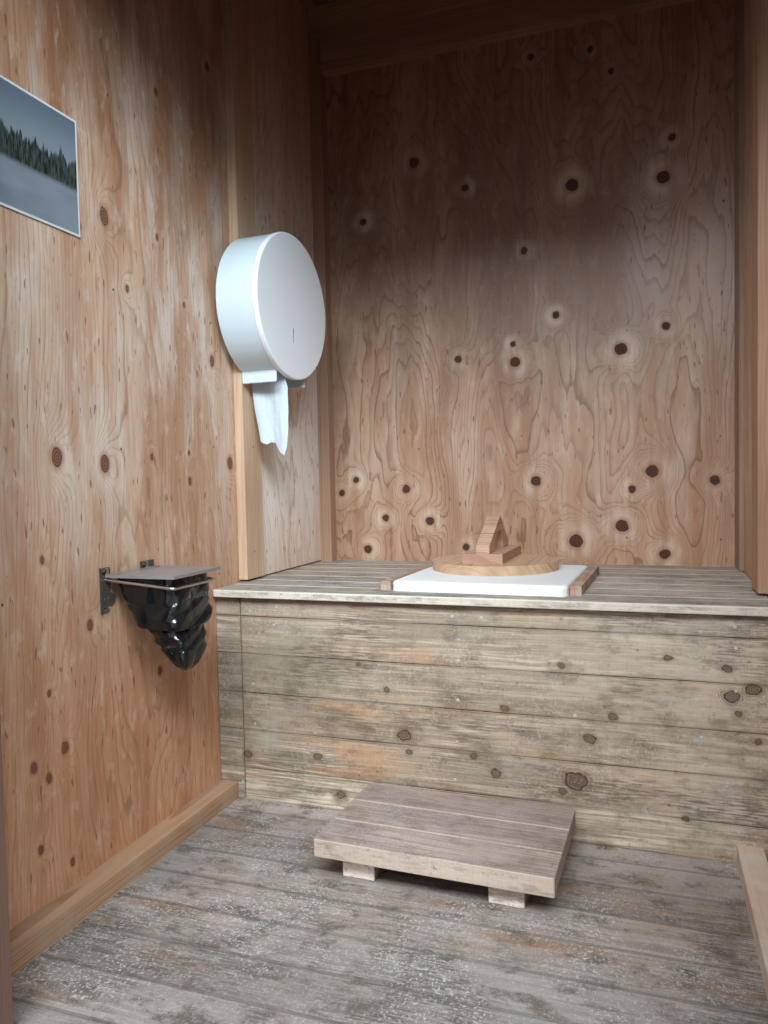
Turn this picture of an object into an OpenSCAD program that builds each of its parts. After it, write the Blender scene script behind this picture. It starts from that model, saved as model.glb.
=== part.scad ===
// Wooden outhouse: one small room, bench with a lift-off seat lid, shed roof.
// Millimetres. X to the right, Y into the room from the doorway, Z up.
// The plan is drawn in room terms: x from the left wall, y from the bench
// front, z from the floor. One shift at the end brings it to the part frame.

/* [Room] */
// Clear width between the side walls
room_w = 1220; // [900:5:1600]
// Depth of the bench, bench front to back wall
bench_d = 648; // [500:1:800]
// Floor depth from the doorway wall to the bench front
floor_d = 795; // [600:5:1200]
// Height of the floor above the ground
floor_h = 203; // [180:1:400]
// Thickness of the wall sheets
sheet_t = 12; // [9:0.5:18]

/* [Doorway] */
// Width of the left door post
post_l = 150; // [90:5:250]
// Width of the right door post
post_r = 89; // [60:1:150]
// Clear height of the doorway
door_h = 1880; // [1700:10:2000]

/* [Bench] */
// Height of the bench top above the floor
bench_h = 508; // [420:1:560]
// Thickness of the bench top
top_t = 18; // [15:1:38]
// Overhang of the bench top
top_over = 20; // [0:1:40]
// Side of the square seat plate
seat_w = 396; // [360:2:440]
// Diameter of the seat hole
hole_d = 230; // [200:2:280]
// Middle of the seat plate from the left wall
seat_x = 631; // [500:1:720]
// Front of the seat plate from the bench front
seat_y = 37; // [20:1:80]
// Diameter of the lid
lid_d = 316; // [280:2:360]

/* [Roof] */
// Rise of the roof towards the front, per metre
roof_rise = 140; // [60:5:250]
// Overhang past the walls
roof_over = 130; // [60:5:300]

/* [Hidden] */
$fn = 96;
e = 0.01;
lum = 38;
yb = bench_d;
yf = -floor_d;
yf_out = yf - lum;
rail_z = 2014;
rail_h = 96;
plate_h = 100;
plate_top = rail_z + rail_h + plate_h;
m = roof_rise / 1000;
raf_h = 89;
y_mid = (yf_out - sheet_t + yb + sheet_t) / 2;
roof_y0 = yf_out - sheet_t - roof_over;
roof_y1 = yb + sheet_t + roof_over;
function under(y) = plate_top - 8 + m * (yb - y);
function over(y) = under(y) + raf_h;
seat_f = under(yf_out) + 3;
seat_t = 23;
seat_corner = 18;
seat_edge = 8;
hole_y = 264;

module place() {
    translate([-room_w / 2, -y_mid, floor_h])
        children();
}

module box(x0, x1, y0, y1, z0, z1) {
    translate([x0, y0, z0])
        cube([x1 - x0, y1 - y0, z1 - z0]);
}

// Plate in the Y-Z plane, from x0 to x1
module side_plate(x0, x1, pts) {
    translate([x0, 0, 0])
        rotate([90, 0, 90])
            linear_extrude(height = x1 - x0)
                polygon(pts);
}

module skids() {
    color("peru")
        for (x = [60, room_w - 149])
            box(x, x + 89, yf_out, yb, -floor_h, -floor_h + 89);
}

module floor_joists() {
    color("burlywood")
        for (y = [yf_out, -430, -24, yb - lum])
            box(lum, room_w - lum, y, y + lum, -114, -25);
}

module floor_rims() {
    color("burlywood")
        for (x = [0, room_w - lum])
            box(x, x + lum, yf_out, yb, -114, -25);
}

module floor_boards() {
    color("gray")
        box(0, room_w, yf_out, 38, -25, 0);
}

module front_skirt() {
    color("sienna")
        box(0, room_w, yf_out - sheet_t, yf_out, -floor_h + 20, 0);
}

module wall_side(x0, x1) {
    y0 = yf_out - sheet_t;
    y1 = yb + sheet_t;
    side_plate(x0, x1, [
        [y0, -floor_h + 20], [y1, -floor_h + 20], [y1, over(y1)], [y0, over(y0)]]);
}

module left_wall_sheet() {
    color("burlywood")
        wall_side(-sheet_t, 0);
}

module right_wall_sheet() {
    color("burlywood")
        wall_side(room_w, room_w + sheet_t);
}

module back_wall_sheet() {
    color("burlywood")
        box(0, room_w, yb, yb + sheet_t, -floor_h + 20, under(yb + sheet_t) - 1);
}

module left_rear_lining() {
    color("tan")
        box(0, 12, 208, yb - 42, bench_h + 4, plate_top - 10);
}

module left_joint_batten() {
    color("burlywood")
        box(0, 24, 117, 208, bench_h + 6, under(208));
}

module right_joint_batten() {
    color("burlywood")
        box(room_w - 20, room_w, 117, 208, bench_h + 6, under(208));
}

module left_corner_post() {
    color("burlywood")
        box(0, 49, yb - 42, yb, bench_h, rail_z + rail_h);
}

module right_corner_post() {
    color("burlywood")
        box(room_w - 11, room_w, yb - 110, yb, bench_h + 2, rail_z + rail_h);
}

module rear_rail() {
    color("burlywood")
        box(49, room_w - 11, yb - lum, yb, rail_z, rail_z + rail_h);
}

module rear_top_plate() {
    color("burlywood")
        box(0, room_w, yb - lum, yb, rail_z + rail_h, plate_top);
}

module left_sole_plate() {
    color("darkorange")
        box(0, 49, yf, 0, 0, 39);
}

module right_sole_plate() {
    color("darkorange")
        box(room_w - 71, room_w - 24, yf, 0, 0, 37);
}

module left_door_post() {
    color("rosybrown")
        box(0, post_l, yf_out, yf, 0, seat_f - 89);
}

module right_door_post() {
    color("rosybrown")
        box(room_w - post_r, room_w, yf_out, yf, 0, seat_f - 89);
}

module door_header() {
    color("rosybrown")
        box(post_l, room_w - post_r, yf_out, yf, door_h, door_h + 89);
}

module front_top_plate() {
    color("burlywood")
        box(0, room_w, yf_out, yf, seat_f - 89, seat_f);
}

module front_left_panel() {
    color("sienna")
        box(0, post_l, yf_out - sheet_t, yf_out, 0, door_h);
}

module front_right_panel() {
    color("sienna")
        box(room_w - post_r, room_w, yf_out - sheet_t, yf_out, 0, door_h);
}

module front_top_panel() {
    color("sienna")
        box(0, room_w, yf_out - sheet_t, yf_out, door_h, under(yf_out));
}

// Rafter side view with level seats on both plates
module rafter_shape() {
    polygon([
        [roof_y0, under(roof_y0)], [yf_out, under(yf_out)], [yf_out, seat_f], [yf, seat_f],
        [yf, under(yf)], [yb - lum, under(yb - lum)], [yb - lum, plate_top], [yb, plate_top],
        [yb, under(yb)], [roof_y1, under(roof_y1)], [roof_y1, over(roof_y1)],
        [roof_y0, over(roof_y0)]]);
}

module rafters() {
    color("burlywood")
        for (x = [0, (room_w - lum) / 2, room_w - lum])
            translate([x, 0, 0])
                rotate([90, 0, 90])
                    linear_extrude(height = lum)
                        rafter_shape();
}

module roof_slab(lo, hi, dx) {
    side_plate(-sheet_t - dx, room_w + sheet_t + dx, [
        [roof_y0, over(roof_y0) + lo], [roof_y1, over(roof_y1) + lo],
        [roof_y1, over(roof_y1) + hi], [roof_y0, over(roof_y0) + hi]]);
}

module roof_deck() {
    color("tan")
        roof_slab(0, 18, 90);
}

module roof_felt() {
    color("darkslategray")
        roof_slab(18, 22, 90);
}

module roof_fascias() {
    color("sienna") {
        box(-sheet_t - 90, room_w + sheet_t + 90, roof_y0 - 19, roof_y0,
            under(roof_y0) - 10, over(roof_y0) + 18);
        box(-sheet_t - 90, room_w + sheet_t + 90, roof_y1, roof_y1 + 19,
            under(roof_y1) - 10, over(roof_y1) + 18);
    }
}

module outer_battens() {
    y0 = yf_out - sheet_t;
    y1 = yb + sheet_t;
    color("sienna")
        for (x = [-sheet_t - 19, room_w + sheet_t], y = [y0, y_mid - 45, y1 - 89])
            side_plate(x, x + 19, [
                [y, -floor_h + 20], [y + 89, -floor_h + 20], [y + 89, over(y + 89)],
                [y, over(y)]]);
}

module bench_front_boards() {
    color("darkkhaki")
        box(68, room_w, 0, lum, 0, bench_h - top_t);
}

module bench_front_filler() {
    color("darkkhaki")
        box(0, 66, 0, lum, 0, bench_h - top_t);
}

// Seat plate and what lies on it stand a little askew on the bench
module on_seat() {
    translate([seat_x, seat_y, bench_h])
        rotate([0, 0, -2.2])
            children();
}

module bench_top_boards() {
    color("gray")
        difference() {
            box(0, room_w, -top_over, yb, bench_h - top_t, bench_h);
            on_seat()
                translate([0, hole_y, -top_t - 1])
                    cylinder(d = hole_d + 20, h = top_t + 2);
        }
}

module bench_rails() {
    zr = bench_h - top_t;
    color("burlywood") {
        box(lum, room_w - lum, lum, 2 * lum, zr - 89, zr);
        box(0, room_w, yb - lum, yb, zr - 89, zr);
    }
}

module bench_cross_rails() {
    zr = bench_h - top_t;
    r = hole_d / 2 + 40;
    color("burlywood")
        for (x = [0, seat_x - r - lum, seat_x + r, room_w - lum])
            box(x, x + lum, 2 * lum, yb - lum, zr - 89, zr);
}

// Half section of a plate's rim: reach, height, radius of the rolled top edge
module rim_section(r, h, edge) {
    square([r - edge, h]);
    square([r, h - edge]);
    translate([r - edge, h - edge])
        circle(r = edge);
}

// Moulded plate: flat middle, four rolled edges, four round corners
module seat_plate_form() {
    h = seat_w / 2 - seat_corner;
    translate([0, seat_w / 2, 0]) {
        translate([-h, -h, 0])
            cube([2 * h, 2 * h, seat_t]);
        for (a = [0:90:270])
            rotate([0, 0, a]) {
                translate([h, h, 0])
                    rotate([90, 0, 0])
                        linear_extrude(height = 2 * h)
                            rim_section(seat_corner, seat_t, seat_edge);
                translate([h, h, 0])
                    rotate_extrude(angle = 90)
                        rim_section(seat_corner, seat_t, seat_edge);
            }
    }
}

module seat_plate() {
    color("white")
        on_seat()
            difference() {
                seat_plate_form();
                translate([0, hole_y, -1])
                    cylinder(d = hole_d, h = seat_t + 2);
            }
}

// Left and right guide: side nearest the left wall, front, back, width
module seat_guides() {
    color("tan")
        on_seat()
            for (g = [[-226, 8, 385, 24], [seat_w / 2 + 1, 26, 400, 25]])
                translate([g[0], g[1], 0])
                    cube([g[3], g[2] - g[1], 21]);
}

lid_x = 622;
lid_y = 317;
// The lid lies on the plate with a hair of clearance
lid_z = bench_h + seat_t + 0.2;
lid_t = 23;

module lid_disc() {
    color("wheat")
        translate([lid_x, lid_y, lid_z])
            cylinder(d = lid_d, h = lid_t);
}

// Places the handle block, which stands left of the lid's middle
module on_lid() {
    translate([lid_x - 10, lid_y + 24, lid_z + lid_t])
        rotate([0, 0, -1])
            children();
}

block_l = 250;
block_t = 23;

module lid_block() {
    color("burlywood")
        on_lid()
            translate([-49.5, -block_l / 2, 0])
                cube([99, block_l, block_t]);
}

// Triangular grip with an arched finger hole
module lid_handle() {
    grip_l = 240;
    grip_t = 33;
    color("burlywood")
        on_lid()
            translate([-grip_t / 2, -grip_l / 2 + 2, block_t])
                rotate([90, 0, 90])
                    linear_extrude(height = grip_t)
                        difference() {
                            polygon([[0, 0], [grip_l, 0], [grip_l, 14], [150, 80], [141, 85],
                                [132, 85], [123, 80], [0, 18]]);
                            translate([121, 0])
                                circle(r = 50);
                        }
}

module on_step() {
    translate([617, -172, 0])
        rotate([0, 0, -2])
            children();
}

module step_planks() {
    plank = 92.5;
    pitch = 95;
    color("darkgray")
        on_step()
            for (i = [-1:1])
                translate([-225.5, i * pitch - plank / 2, 51])
                    cube([451, plank, 35]);
}

module step_feet() {
    color("darkgray")
        on_step()
            for (x = [-185, 101])
                translate([x, -101, 0])
                    cube([66, 212, 51]);
}

drum_r = 183;
drum_d = 101;
cover_d = 12;
cover_edge = 4;
shell = 2.5;
mouth_z = -165;
mouth_y = 74;

// Axis of the drum along X, from the middle of its back. The near side leans
// back past the edge of the batten that the drum is screwed to.
module on_drum() {
    translate([27.5, 192.8, 1205])
        rotate([0, 0, -2.5])
            children();
}

module across(x) {
    translate([x, 0, 0])
        rotate([0, 90, 0])
            children();
}

// Back half of the housing, with two pads that reach the batten
module dispenser_body() {
    r = drum_r - 1.5;
    pad = 60;
    color("white") {
        on_drum()
            difference() {
                across(0)
                    cylinder(r = r, h = drum_d);
                across(shell)
                    cylinder(r = r - shell, h = drum_d);
                translate([-1, -mouth_y - shell, -r - 1])
                    cube([drum_d + 2, 2 * (mouth_y + shell), r + 1 + mouth_z]);
            }
        on_drum()
            for (y = [-mouth_y - shell, mouth_y - shell - 1])
                translate([0, y, mouth_z])
                    cube([drum_d, 2 * shell + 1, shell]);
        difference() {
            for (z = [-110, 50])
                box(24, 29, 122, 203, 1205 + z, 1205 + z + pad);
            on_drum()
                translate([0.5, -200, -200])
                    cube([60, 400, 400]);
        }
    }
}

// Rolled rim, flat face, sight slot
module dispenser_cover() {
    color("whitesmoke")
        on_drum()
            difference() {
                across(drum_d)
                    rotate_extrude()
                        difference() {
                            rim_section(drum_r, cover_d, cover_edge);
                            translate([0, -1])
                                rim_section(drum_r - shell, cover_d - shell + 1, cover_edge - 2);
                        }
                translate([drum_d, -8, 0]) {
                    translate([0, 0, -91])
                        cube([cover_d + 1, 4, 36]);
                    for (z = [-91, -55])
                        translate([0, 2, z])
                            rotate([0, 90, 0])
                                cylinder(r = 2, h = cover_d + 1);
                }
            }
}

tooth = 6.5;
teeth = 15;

// Toothed strips at both sides of the mouth, each with a lip under its flange
module dispenser_cutters() {
    l = teeth * tooth;
    color("silver")
        on_drum()
            for (s = [-1, 1])
                translate([1.5, s * mouth_y, mouth_z]) {
                    translate([0, s > 0 ? 0 : -2, -27])
                        cube([l, 2, 27]);
                    translate([0, s > 0 ? -2 : 0, -2])
                        cube([l, 2, 2]);
                    for (i = [0:teeth - 1])
                        translate([i * tooth, s > 0 ? 2 : 0, -27])
                            rotate([90, 0, 0])
                                linear_extrude(height = 2)
                                    polygon([[0, 0], [tooth, 0], [tooth / 2, -4]]);
                }
}

// Torn end of the paper, hanging between the cutters
module paper_tail() {
    color("snow")
        translate([0, 156, 0])
            rotate([90, 0, 0])
                linear_extrude(height = 0.6)
                    polygon([[33, 1060], [124, 1060], [124.5, 1020], [131, 1000], [131, 917],
                        [130, 887], [125, 847], [121, 828], [108, 835], [97, 850], [90, 861],
                        [78, 863], [65, 860], [56, 862], [51, 867], [46, 896], [40, 934],
                        [31, 1000], [31, 1015]]);
}

bag_y0 = -402;
bag_y1 = -240;
bag_lid_z = 586;
hinge_x = 8;
hinge_z = 600;
hinge_at = [-404.5, -281.5];
hinge_w = 15;
knuckle = 4;
rod_wall_z = 581;
rod_front_z = 567;
rod_x = 157;

module along_y(y0, y1, r) {
    translate([hinge_x, y0, hinge_z])
        rotate([-90, 0, 0])
            cylinder(r = r, h = y1 - y0);
}

// Wall plates with stepped feet, the fixed knuckles and the hinge pins.
// Each plate: outer side, inner side of the upper part
module bag_bracket() {
    color("dimgray") {
        for (b = [[-407, -380, 1], [-240, -283, -1]])
            difference() {
                side_plate(0, 3, [
                    [b[0], 518], [b[0] + b[2] * 18, 518], [b[0] + b[2] * 18, 530],
                    [b[0] + b[2] * 34, 530], [b[0] + b[2] * 41, 537], [b[0] + b[2] * 41, 549],
                    [b[1], 556], [b[1], 604], [b[0], 604]]);
                for (h = [[9, 525], [12, 533], [30, 539], [12, 560], [12, 588]])
                    translate([-1, b[0] + b[2] * h[0], h[1]])
                        rotate([0, 90, 0])
                            cylinder(d = 4.5, h = 5);
            }
        for (y = hinge_at) {
            along_y(y, y + knuckle, 4);
            along_y(y + hinge_w - knuckle, y + hinge_w, 4);
            along_y(y + 1, y + hinge_w - 1, 1.5);
            for (k = [y, y + hinge_w - knuckle])
                box(0, hinge_x, k, k + knuckle, hinge_z - 4, hinge_z + 4);
        }
    }
}

// Rod bent to a U, lower at the front, its corners rounded
module bag_frame() {
    r = 3;
    bend = 9;
    start = 3.3;
    near_leg = -394;
    far_leg = -250;
    rise = rod_wall_z - rod_front_z;
    run = rod_x - start;
    l = sqrt(run * run + rise * rise);
    color("silver")
        translate([start, 0, rod_wall_z])
            rotate([0, atan(rise / run), 0]) {
                for (y = [near_leg, far_leg])
                    translate([0, y, 0])
                        rotate([0, 90, 0])
                            cylinder(r = r, h = l - bend);
                translate([l, near_leg + bend, 0])
                    rotate([-90, 0, 0])
                        cylinder(r = r, h = far_leg - near_leg - 2 * bend);
                translate([l - bend, near_leg + bend, 0])
                    rotate([0, 0, -90])
                        rotate_extrude(angle = 90)
                            translate([bend, 0])
                                circle(r = r);
                translate([l - bend, far_leg - bend, 0])
                    rotate_extrude(angle = 90)
                        translate([bend, 0])
                            circle(r = r);
            }
}

module bag_lid_plate() {
    color("saddlebrown")
        box(10, 164, bag_y0, bag_y1, bag_lid_z, bag_lid_z + 6);
}

// Moving leaves, bent down from the knuckle and screwed to the lid plate
module bag_hinge_leaves() {
    top = bag_lid_z + 6;
    color("silver")
        for (y = hinge_at)
            difference() {
                union() {
                    along_y(y + knuckle + 0.5, y + hinge_w - knuckle - 0.5, 4);
                    box(10, 12, y + knuckle + 0.5, y + hinge_w - knuckle - 0.5, top, hinge_z);
                    box(10, 36, y + 2.5, y + hinge_w, top, top + 1.5);
                }
                along_y(y, y + hinge_w, 1.58);
            }
}

// Hanging bag, wide under the rod and drawn to a low point
module bag_form(d, top) {
    hull()
        for (s = [[12, 150, -388, -256, top], [45, 150, -386, -258, 510],
            [90, 152, -366, -284, 440], [104, 130, -338, -304, 400 + d]])
            box(s[0] + d, s[1] - d, s[2] + d, s[3] - d, s[4], s[4] + 1);
}

module waste_bag() {
    color("black")
        difference() {
            bag_form(0, 577);
            bag_form(2, 580);
        }
}

module wall_print() {
    color("lightsteelblue")
        box(0, 3, -727, -427, 1220, 1430);
}

place() skids();
place() floor_joists();
place() floor_rims();
place() floor_boards();
place() front_skirt();
place() left_wall_sheet();
place() right_wall_sheet();
place() back_wall_sheet();
place() left_rear_lining();
place() left_joint_batten();
place() right_joint_batten();
place() left_corner_post();
place() right_corner_post();
place() rear_rail();
place() rear_top_plate();
place() left_sole_plate();
place() right_sole_plate();
place() left_door_post();
place() right_door_post();
place() door_header();
place() front_top_plate();
place() front_left_panel();
place() front_right_panel();
place() front_top_panel();
place() rafters();
place() roof_deck();
place() roof_felt();
place() roof_fascias();
place() outer_battens();
place() bench_front_boards();
place() bench_front_filler();
place() bench_top_boards();
place() bench_rails();
place() bench_cross_rails();
place() seat_plate();
place() seat_guides();
place() lid_disc();
place() lid_block();
place() lid_handle();
place() step_planks();
place() step_feet();
place() dispenser_body();
place() dispenser_cover();
place() dispenser_cutters();
place() paper_tail();
place() bag_bracket();
place() bag_frame();
place() bag_lid_plate();
place() bag_hinge_leaves();
place() waste_bag();
place() wall_print();
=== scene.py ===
"""Looks of a wooden outhouse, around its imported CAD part."""

import math
import random

import bmesh
import bpy
from mathutils import Matrix, Vector, noise


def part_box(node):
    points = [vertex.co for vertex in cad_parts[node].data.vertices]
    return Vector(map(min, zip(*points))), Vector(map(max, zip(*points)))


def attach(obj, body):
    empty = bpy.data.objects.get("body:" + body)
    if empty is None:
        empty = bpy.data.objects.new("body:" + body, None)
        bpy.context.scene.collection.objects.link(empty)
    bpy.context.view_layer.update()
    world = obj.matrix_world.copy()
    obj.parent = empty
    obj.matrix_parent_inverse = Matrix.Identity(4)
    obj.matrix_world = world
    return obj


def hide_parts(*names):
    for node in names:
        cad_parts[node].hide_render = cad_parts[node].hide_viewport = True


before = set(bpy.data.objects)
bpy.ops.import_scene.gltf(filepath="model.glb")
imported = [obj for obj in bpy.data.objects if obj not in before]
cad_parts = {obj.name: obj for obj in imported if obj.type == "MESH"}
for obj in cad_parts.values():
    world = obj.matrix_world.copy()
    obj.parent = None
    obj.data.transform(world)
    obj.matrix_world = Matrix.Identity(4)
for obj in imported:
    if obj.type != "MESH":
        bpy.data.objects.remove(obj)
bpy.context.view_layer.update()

# Camera, in room terms: from the left wall, from the bench front, above the floor
CAMERA_PLACE = (0.9901, -1.5946, 0.7635)
CAMERA_TURN = 19.154
CAMERA_TILT = -2.483
CAMERA_ROLL = -1.189
LENS_PIXELS = 762
PICTURE_HEIGHT = 1024
SENSOR = 36

LEFT_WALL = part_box("left_wall_sheet")[1].x
BENCH_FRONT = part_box("bench_front_boards")[0].y
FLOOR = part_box("floor_boards")[1].z
MM = 0.001


def at(x, y, z):
    """A point given from the left wall, the bench front and the floor, in the row frame."""
    return Vector((LEFT_WALL + x, BENCH_FRONT + y, FLOOR + z))


def mm(x, y, z):
    return at(x * MM, y * MM, z * MM)


def make_camera():
    turn, tilt, roll = (math.radians(a) for a in (CAMERA_TURN, CAMERA_TILT, CAMERA_ROLL))
    ahead = Vector((-math.sin(turn) * math.cos(tilt), math.cos(turn) * math.cos(tilt), math.sin(tilt)))
    right = Vector((math.cos(turn), math.sin(turn), 0))
    up = right.cross(ahead)
    across = right * math.cos(roll) + up * math.sin(roll)
    upright = up * math.cos(roll) - right * math.sin(roll)
    data = bpy.data.cameras.new("camera")
    data.sensor_width = SENSOR
    data.lens = LENS_PIXELS / PICTURE_HEIGHT * SENSOR
    data.clip_start = 0.02
    camera = bpy.data.objects.new("camera", data)
    bpy.context.scene.collection.objects.link(camera)
    turned = Matrix((across, upright, -ahead)).transposed().to_4x4()
    camera.matrix_world = Matrix.Translation(at(*CAMERA_PLACE)) @ turned
    bpy.context.scene.camera = camera


class Recipe:
    """Puts nodes into one material or one group."""

    def __init__(self, tree):
        self.tree = tree

    def put(self, kind, inputs=None, **settings):
        node = self.tree.nodes.new(kind)
        for key, value in settings.items():
            setattr(node, key, value)
        for key, value in (inputs or {}).items():
            self.feed(node.inputs[key], value)
        return node

    def feed(self, socket, value):
        if isinstance(value, bpy.types.NodeSocket):
            self.tree.links.new(value, socket)
        else:
            socket.default_value = value

    def math(self, operation, first, second=0.0, third=0.0, clamp=False):
        node = self.put("ShaderNodeMath", operation=operation, use_clamp=clamp)
        for socket, value in zip(node.inputs, (first, second, third)):
            self.feed(socket, value)
        return node.outputs[0]

    def times(self, first, second):
        return self.math("MULTIPLY", first, second)

    def plus(self, first, second):
        return self.math("ADD", first, second)

    def mix(self, share, first, second, blend="MIX"):
        node = self.put("ShaderNodeMix", data_type="RGBA", blend_type=blend)
        for socket, value in zip((node.inputs[0], node.inputs[6], node.inputs[7]), (share, first, second)):
            self.feed(socket, value)
        return node.outputs[2]

    def noise(self, place, scale, detail=2.0, roughness=0.5, distortion=0.0):
        inputs = {"Vector": place, "Scale": scale, "Detail": detail, "Roughness": roughness}
        return self.put("ShaderNodeTexNoise", {**inputs, "Distortion": distortion}).outputs[0]

    def stretch(self, place, factors):
        node = self.put("ShaderNodeVectorMath", operation="MULTIPLY")
        self.feed(node.inputs[0], place)
        self.feed(node.inputs[1], factors)
        return node.outputs[0]

    def shift(self, place, by):
        node = self.put("ShaderNodeVectorMath", operation="ADD")
        self.feed(node.inputs[0], place)
        self.feed(node.inputs[1], by)
        return node.outputs[0]

    def fade(self, value, low, high, start=0.0, end=1.0):
        inputs = {"Value": value, "From Min": low, "From Max": high, "To Min": start, "To Max": end}
        return self.put("ShaderNodeMapRange", inputs, interpolation_type="SMOOTHSTEP").outputs[0]

    def parts(self, vector):
        return self.put("ShaderNodeSeparateXYZ", {"Vector": vector}).outputs

    def join(self, x, y, z):
        return self.put("ShaderNodeCombineXYZ", {"X": x, "Y": y, "Z": z}).outputs[0]

    def use(self, group, **inputs):
        node = self.put("ShaderNodeGroup", node_tree=group)
        for key, value in inputs.items():
            self.feed(node.inputs[key], value)
        return node.outputs


def make_group(name, takes, gives, build):
    """A node group: takes and gives map each socket's name to its kind."""
    tree = bpy.data.node_groups.new(name, "ShaderNodeTree")
    for label, kind in takes.items():
        tree.interface.new_socket(label, in_out="INPUT", socket_type="NodeSocket" + kind)
    for label, kind in gives.items():
        tree.interface.new_socket(label, in_out="OUTPUT", socket_type="NodeSocket" + kind)
    start = tree.nodes.new("NodeGroupInput")
    end = tree.nodes.new("NodeGroupOutput")
    for label, socket in build(Recipe(tree), start.outputs).items():
        tree.links.new(socket, end.inputs[label])
    return tree


def sawn_rings(r, takes):
    """Growth rings in a sawn board, whose Place runs along, across and through the tree."""
    along, across, depth = r.parts(takes["Place"])
    slow = r.noise(r.stretch(takes["Place"], (1.3, 9, 9)), 1.0, 2.0)
    wander = r.times(r.plus(slow, -0.5), takes["Wander"])
    out = r.math("SQRT", r.plus(r.times(across, across), r.times(depth, depth)))
    uneven = r.noise(r.join(0.0, 0.0, r.times(out, 70.0)), 1.0, 2.0)
    out = r.plus(out, r.times(uneven, 0.016))
    ring = r.math("DIVIDE", r.plus(r.plus(out, wander), r.times(takes["Bumps"], 0.012)), takes["Ring"])
    saw = r.math("FRACT", ring)
    own = r.put("ShaderNodeTexWhiteNoise", {"W": r.math("FLOOR", ring)}, noise_dimensions="1D").outputs["Value"]
    late = r.times(r.times(r.fade(saw, 0.25, 0.9), r.fade(saw, 1.0, 0.93)), r.fade(own, 0.0, 1.0, 0.25, 1.0))
    fibre = r.noise(r.stretch(takes["Place"], (9, 700, 700)), 1.0, 3.0, 0.65)
    tone = r.noise(r.stretch(takes["Place"], (2.5, 16, 16)), 1.0, 2.0)
    return {"Late": late, "Fibre": fibre, "Tone": tone}


def knot_near(r, takes):
    """Nearness to one knot, in its radii, joined to that of the knots before it."""
    away = r.put("ShaderNodeVectorMath", operation="DISTANCE")
    r.feed(away.inputs[0], takes["Place"])
    r.feed(away.inputs[1], takes["Centre"])
    share = r.math("DIVIDE", away.outputs["Value"], takes["Radius"])
    swell = r.math("POWER", 0.5, r.times(r.times(share, share), 0.16))
    return {
        "Near": r.math("MINIMUM", takes["Near"], share),
        "Bumps": r.plus(takes["Bumps"], r.times(swell, r.times(takes["Radius"], 60.0))),
    }


def veneer_figure(r, takes):
    """Flame lines of rotary-cut veneer, whose Place runs across, up and by sheet."""
    broad = r.noise(r.stretch(takes["Place"], (2.6, 0.55, 1)), 1.0, 1.0)
    middle = r.noise(r.stretch(takes["Place"], (9, 1.7, 1)), 1.0, 2.0)
    small = r.noise(r.stretch(takes["Place"], (46, 12, 1)), 1.0, 2.0)
    field = r.plus(r.plus(r.times(broad, 2.6), r.times(middle, 0.6)), r.times(small, 0.045))
    field = r.plus(field, r.times(r.parts(takes["Place"])[0], takes["Straight"]))
    field = r.plus(field, r.times(takes["Bumps"], 0.55))
    contour = r.times(field, takes["Lines"])
    saw = r.math("FRACT", contour)
    own = r.put("ShaderNodeTexWhiteNoise", {"W": r.math("FLOOR", contour)}, noise_dimensions="1D").outputs["Value"]
    thin = r.times(r.fade(saw, 0.66, 0.93), r.fade(saw, 1.0, 0.955))
    line = r.times(thin, r.fade(own, 0.0, 1.0, 0.3, 1.0))
    late = r.plus(r.times(line, 0.85), r.times(r.fade(saw, 0.1, 0.95), 0.15))
    fibre = r.noise(r.stretch(takes["Place"], (520, 11, 1)), 1.0, 3.0, 0.6)
    tone = r.noise(r.stretch(takes["Place"], (15, 1.3, 1)), 1.0, 5.0, 0.62)
    streak = r.noise(r.stretch(takes["Place"], (75, 3.2, 3)), 1.0, 3.0, 0.55)
    fleck = r.noise(r.stretch(takes["Place"], (105, 24, 1)), 1.0, 1.0)
    return {
        "Late": late,
        "Fibre": fibre,
        "Tone": tone,
        "Streak": r.fade(streak, 0.46, 0.70),
        "Fleck": r.fade(fleck, 0.68, 0.72),
    }


def surface_dirt(r, takes):
    """Dirt that gathers in patches and specks."""
    patch = r.noise(takes["Place"], takes["Size"], 5.0, 0.6)
    speck = r.noise(takes["Place"], r.times(takes["Size"], 14.0), 2.0, 0.6)
    return {
        "Patch": r.fade(patch, 0.42, 0.68),
        "Speck": r.fade(speck, 0.66, 0.74),
    }


VECTOR, FLOAT = "Vector", "Float"
SAWN = make_group(
    "Sawn timber",
    {"Place": VECTOR, "Ring": FLOAT, "Wander": FLOAT, "Bumps": FLOAT},
    {"Late": FLOAT, "Fibre": FLOAT, "Tone": FLOAT},
    sawn_rings,
)
KNOT = make_group(
    "Knot",
    {"Place": VECTOR, "Centre": VECTOR, "Radius": FLOAT, "Near": FLOAT, "Bumps": FLOAT},
    {"Near": FLOAT, "Bumps": FLOAT},
    knot_near,
)
VENEER = make_group(
    "Rotary veneer",
    {"Place": VECTOR, "Lines": FLOAT, "Straight": FLOAT, "Bumps": FLOAT},
    {"Late": FLOAT, "Fibre": FLOAT, "Tone": FLOAT, "Streak": FLOAT, "Fleck": FLOAT},
    veneer_figure,
)
DIRT = make_group(
    "Surface dirt",
    {"Place": VECTOR, "Size": FLOAT},
    {"Patch": FLOAT, "Speck": FLOAT},
    surface_dirt,
)


def new_material(name):
    material = bpy.data.materials.new(name)
    material.use_nodes = True
    return material, Recipe(material.node_tree), material.node_tree.nodes["Principled BSDF"]


def row_place(r):
    return r.put("ShaderNodeTexCoord").outputs["Object"]


def grain_place(r):
    return r.put("ShaderNodeAttribute", attribute_name="grain").outputs["Vector"]


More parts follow.
